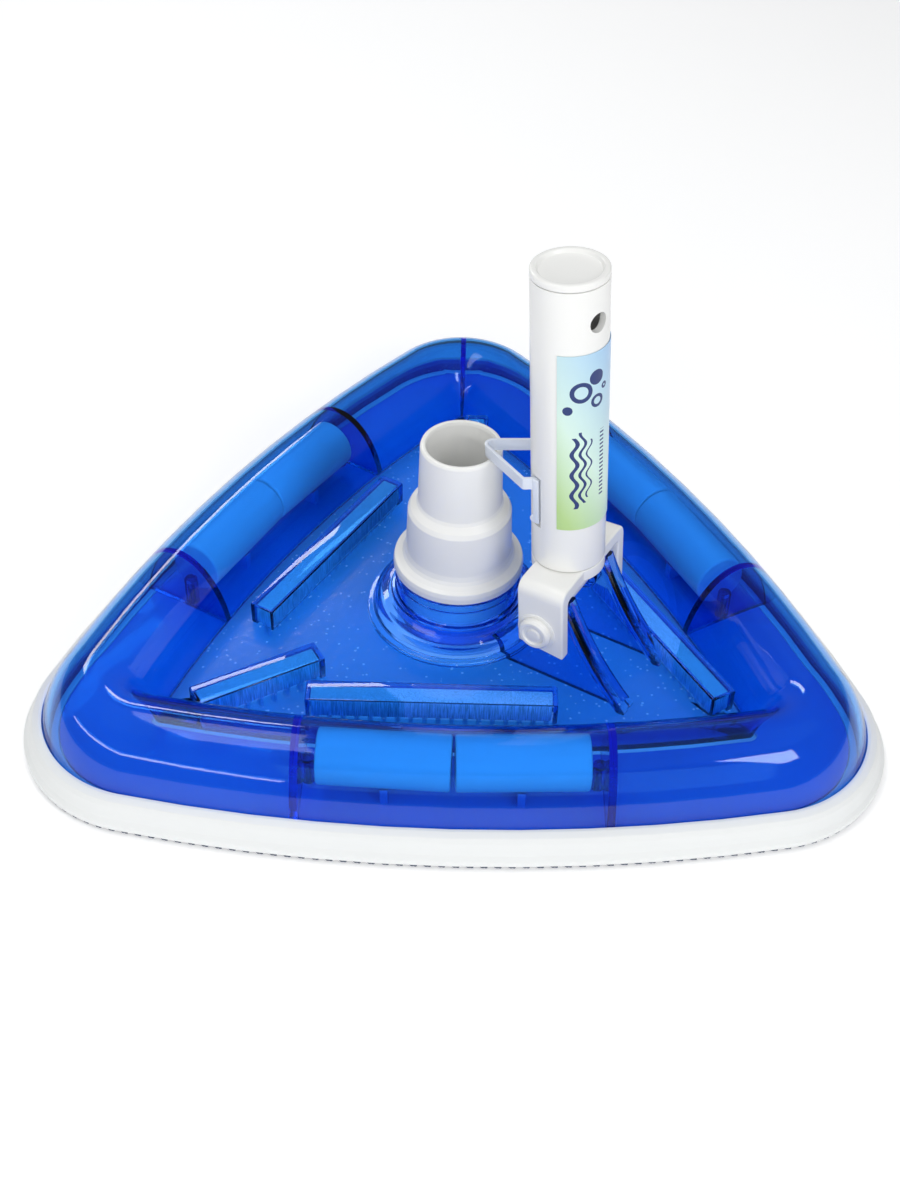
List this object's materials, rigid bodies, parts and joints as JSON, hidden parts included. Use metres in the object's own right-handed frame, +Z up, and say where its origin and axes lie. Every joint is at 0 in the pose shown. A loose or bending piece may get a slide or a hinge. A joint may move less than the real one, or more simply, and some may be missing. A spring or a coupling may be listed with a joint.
{
  "type": "manual vacuum head",
  "caption": "Triangular pool vacuum head: clear weighted shell with bumper and brushes, a swivelling hose cuff in the middle and a tilting pole handle with a snap clip.",
  "frame": {"origin": "middle of the base's bounding box, on the floor under the brush ring", "axes": "+X towards the corner that the handle leans over when it is lowered, +Z up along the hose port, +Y to the left of that"},
  "size_m": [0.3148, 0.3336, 0.1854],
  "materials": {
    "clear_blue": "glossy, transparent blue",
    "soft_white": "smooth satin",
    "bristle_grey": "fine nylon bristle",
    "bristle_pale": "fine nylon bristle",
    "cover_clear": "glossy, transparent blue",
    "coated_steel": "satin coating",
    "screw_steel": "plain",
    "white_plastic": "satin, moulded",
    "nylon": "satin, slightly translucent",
    "black_rubber": "matte",
    "label_film": "printed film, satin"
  },
  "bodies": {
    "base": {"shell": "clear_blue", "bumper": "soft_white", "ring_brush": "bristle_grey", "brush_strip_left": "bristle_pale", "brush_strip_rear": "bristle_pale", "brush_strip_right": "bristle_pale", "brush_strip_corner_left": "bristle_pale", "brush_strip_corner_right": "bristle_pale", "base_cover": "cover_clear", "weight_left_a": "coated_steel", "weight_left_b": "coated_steel", "weight_rear_a": "coated_steel", "weight_rear_b": "coated_steel", "weight_right_a": "coated_steel", "weight_right_b": "coated_steel", "cover_screw_left_a": "screw_steel", "cover_screw_left_b": "screw_steel", "cover_screw_rear_a": "screw_steel", "cover_screw_rear_b": "screw_steel", "cover_screw_right_a": "screw_steel", "cover_screw_right_b": "screw_steel", "cuff_seal": "black_rubber"},
    "cuff": {"hose_cuff": "white_plastic", "cuff_retainer": "nylon"},
    "handle": {"yoke": "white_plastic", "handle_tube": "white_plastic", "tube_cap": "white_plastic", "label": "label_film", "pivot_pin": "white_plastic", "pivot_cap": "white_plastic"},
    "clip": {"pole_clip": "nylon"}
  },
  "joints": [
    {"name": "handle_tilt", "type": "hinge", "parent": "base", "child": "handle", "pos_m": [0.02311, 0, 0.041], "axis": [0, 1, 0], "range_deg": [0, 70]},
    {"name": "cuff_swivel", "type": "hinge", "parent": "base", "child": "cuff", "pos_m": [-0.02689, 0, 0.05], "axis": [0, 0, 1], "continuous": true},
    {"name": "clip_release", "type": "hinge", "parent": "handle", "child": "clip", "pos_m": [0.01104, 0, 0.0989], "axis": [0, 1, 0], "range_deg": [0, 8], "stiffness_Nm_per_rad": 0.01}
  ]
}
